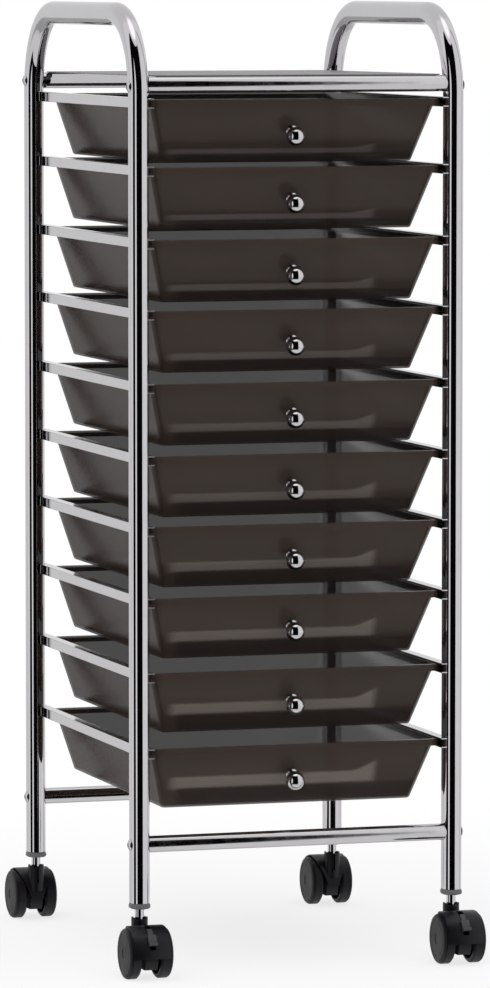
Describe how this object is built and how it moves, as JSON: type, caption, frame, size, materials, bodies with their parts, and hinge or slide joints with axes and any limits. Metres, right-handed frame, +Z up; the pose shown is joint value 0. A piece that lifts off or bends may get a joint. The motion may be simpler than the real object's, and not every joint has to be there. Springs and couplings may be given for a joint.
{
  "type": "plastic drawer tower",
  "caption": "Tall rolling cart: a chromed oval-tube frame with looped side handles, shallow tapered pull-out drawers hung by their rims on channel rails, round knobs and twin-wheel casters.",
  "frame": {"origin": "floor level under the centre of the cart", "axes": "+X to the right seen from the knobs, -Y towards the user who pulls the drawers, +Z up"},
  "size_m": [0.36, 0.4684, 0.931],
  "materials": {
    "chrome_tube": "bright plated steel tube",
    "chrome_sheet": "bright plated folded sheet steel",
    "chrome_fittings": "bright plated turned metal",
    "steel_stem": "zinc-plated steel",
    "zinc_screw": "zinc-plated steel screw",
    "grey_panel": "smooth grey painted sheet",
    "smoked_plastic": "glossy translucent smoked black-brown moulding",
    "black_plastic": "semi-matt black moulding",
    "wheel_plastic": "semi-matt black moulded wheel",
    "grey_plastic": "semi-matt grey moulding"
  },
  "bodies": {
    "frame": {"left_side_tube": "chrome_tube", "right_side_tube": "chrome_tube", "left_rails": "chrome_sheet", "right_rails": "chrome_sheet", "top_front_crossbar": "chrome_tube", "top_rear_crossbar": "chrome_tube", "bottom_front_crossbar": "chrome_tube", "bottom_rear_crossbar": "chrome_tube", "top_panel": "grey_panel", "crossbar_bolts": "chrome_fittings", "post_sockets": "grey_plastic", "caster_stems": "steel_stem"},
    "drawer_unit_1": {"drawer_1": "smoked_plastic", "knob_1": "chrome_fittings", "knob_screw_1": "zinc_screw"},
    "drawer_unit_2": {"drawer_2": "smoked_plastic", "knob_2": "chrome_fittings", "knob_screw_2": "zinc_screw"},
    "drawer_unit_3": {"drawer_3": "smoked_plastic", "knob_3": "chrome_fittings", "knob_screw_3": "zinc_screw"},
    "drawer_unit_4": {"drawer_4": "smoked_plastic", "knob_4": "chrome_fittings", "knob_screw_4": "zinc_screw"},
    "drawer_unit_5": {"drawer_5": "smoked_plastic", "knob_5": "chrome_fittings", "knob_screw_5": "zinc_screw"},
    "drawer_unit_6": {"drawer_6": "smoked_plastic", "knob_6": "chrome_fittings", "knob_screw_6": "zinc_screw"},
    "drawer_unit_7": {"drawer_7": "smoked_plastic", "knob_7": "chrome_fittings", "knob_screw_7": "zinc_screw"},
    "drawer_unit_8": {"drawer_8": "smoked_plastic", "knob_8": "chrome_fittings", "knob_screw_8": "zinc_screw"},
    "drawer_unit_9": {"drawer_9": "smoked_plastic", "knob_9": "chrome_fittings", "knob_screw_9": "zinc_screw"},
    "drawer_unit_10": {"drawer_10": "smoked_plastic", "knob_10": "chrome_fittings", "knob_screw_10": "zinc_screw"},
    "front_left_swivel": {"front_left_hood": "black_plastic", "front_left_axle": "steel_stem"},
    "front_right_swivel": {"front_right_hood": "black_plastic", "front_right_axle": "steel_stem"},
    "rear_left_swivel": {"rear_left_hood": "black_plastic", "rear_left_axle": "steel_stem"},
    "rear_right_swivel": {"rear_right_hood": "black_plastic", "rear_right_axle": "steel_stem"},
    "front_left_outer_roller": {"front_left_outer_wheel": "wheel_plastic"},
    "front_left_inner_roller": {"front_left_inner_wheel": "wheel_plastic"},
    "front_right_outer_roller": {"front_right_outer_wheel": "wheel_plastic"},
    "front_right_inner_roller": {"front_right_inner_wheel": "wheel_plastic"},
    "rear_left_outer_roller": {"rear_left_outer_wheel": "wheel_plastic"},
    "rear_left_inner_roller": {"rear_left_inner_wheel": "wheel_plastic"},
    "rear_right_outer_roller": {"rear_right_outer_wheel": "wheel_plastic"},
    "rear_right_inner_roller": {"rear_right_inner_wheel": "wheel_plastic"},
    "front_left_brake": {"front_left_brake_lever": "grey_plastic"},
    "front_right_brake": {"front_right_brake_lever": "grey_plastic"}
  },
  "joints": [
    {"name": "drawer_1_slide", "type": "slide", "parent": "frame", "child": "drawer_unit_1", "axis": [0, -1, 0], "range_m": [0, 0.3]},
    {"name": "drawer_2_slide", "type": "slide", "parent": "frame", "child": "drawer_unit_2", "axis": [0, -1, 0], "range_m": [0, 0.3]},
    {"name": "drawer_3_slide", "type": "slide", "parent": "frame", "child": "drawer_unit_3", "axis": [0, -1, 0], "range_m": [0, 0.3]},
    {"name": "drawer_4_slide", "type": "slide", "parent": "frame", "child": "drawer_unit_4", "axis": [0, -1, 0], "range_m": [0, 0.3]},
    {"name": "drawer_5_slide", "type": "slide", "parent": "frame", "child": "drawer_unit_5", "axis": [0, -1, 0], "range_m": [0, 0.3]},
    {"name": "drawer_6_slide", "type": "slide", "parent": "frame", "child": "drawer_unit_6", "axis": [0, -1, 0], "range_m": [0, 0.3]},
    {"name": "drawer_7_slide", "type": "slide", "parent": "frame", "child": "drawer_unit_7", "axis": [0, -1, 0], "range_m": [0, 0.3]},
    {"name": "drawer_8_slide", "type": "slide", "parent": "frame", "child": "drawer_unit_8", "axis": [0, -1, 0], "range_m": [0, 0.3]},
    {"name": "drawer_9_slide", "type": "slide", "parent": "frame", "child": "drawer_unit_9", "axis": [0, -1, 0], "range_m": [0, 0.3]},
    {"name": "drawer_10_slide", "type": "slide", "parent": "frame", "child": "drawer_unit_10", "axis": [0, -1, 0], "range_m": [0, 0.3]},
    {"name": "front_left_swivel_turn", "type": "hinge", "parent": "frame", "child": "front_left_swivel", "pos_m": [-0.1582, -0.186, 0.045], "axis": [0, 0, 1], "continuous": true},
    {"name": "front_right_swivel_turn", "type": "hinge", "parent": "frame", "child": "front_right_swivel", "pos_m": [0.1582, -0.186, 0.045], "axis": [0, 0, 1], "continuous": true},
    {"name": "rear_left_swivel_turn", "type": "hinge", "parent": "frame", "child": "rear_left_swivel", "pos_m": [-0.1582, 0.186, 0.045], "axis": [0, 0, 1], "continuous": true},
    {"name": "rear_right_swivel_turn", "type": "hinge", "parent": "frame", "child": "rear_right_swivel", "pos_m": [0.1582, 0.186, 0.045], "axis": [0, 0, 1], "continuous": true},
    {"name": "front_left_outer_roll", "type": "hinge", "parent": "front_left_swivel", "child": "front_left_outer_roller", "pos_m": [-0.1722, -0.206, 0.0245], "axis": [1, 0, 0], "continuous": true},
    {"name": "front_left_inner_roll", "type": "hinge", "parent": "front_left_swivel", "child": "front_left_inner_roller", "pos_m": [-0.1442, -0.206, 0.0245], "axis": [1, 0, 0], "continuous": true},
    {"name": "front_right_outer_roll", "type": "hinge", "parent": "front_right_swivel", "child": "front_right_outer_roller", "pos_m": [0.1722, -0.206, 0.0245], "axis": [1, 0, 0], "continuous": true},
    {"name": "front_right_inner_roll", "type": "hinge", "parent": "front_right_swivel", "child": "front_right_inner_roller", "pos_m": [0.1442, -0.206, 0.0245], "axis": [1, 0, 0], "continuous": true},
    {"name": "rear_left_outer_roll", "type": "hinge", "parent": "rear_left_swivel", "child": "rear_left_outer_roller", "pos_m": [-0.1722, 0.206, 0.0245], "axis": [1, 0, 0], "continuous": true},
    {"name": "rear_left_inner_roll", "type": "hinge", "parent": "rear_left_swivel", "child": "rear_left_inner_roller", "pos_m": [-0.1442, 0.206, 0.0245], "axis": [1, 0, 0], "continuous": true},
    {"name": "rear_right_outer_roll", "type": "hinge", "parent": "rear_right_swivel", "child": "rear_right_outer_roller", "pos_m": [0.1722, 0.206, 0.0245], "axis": [1, 0, 0], "continuous": true},
    {"name": "rear_right_inner_roll", "type": "hinge", "parent": "rear_right_swivel", "child": "rear_right_inner_roller", "pos_m": [0.1442, 0.206, 0.0245], "axis": [1, 0, 0], "continuous": true},
    {"name": "front_left_brake_tilt", "type": "hinge", "parent": "front_left_swivel", "child": "front_left_brake", "pos_m": [-0.1582, -0.21413, 0.04277], "axis": [-1, 0, 0], "range_deg": [0, 12]},
    {"name": "front_right_brake_tilt", "type": "hinge", "parent": "front_right_swivel", "child": "front_right_brake", "pos_m": [0.1582, -0.21413, 0.04277], "axis": [-1, 0, 0], "range_deg": [0, 12]}
  ]
}
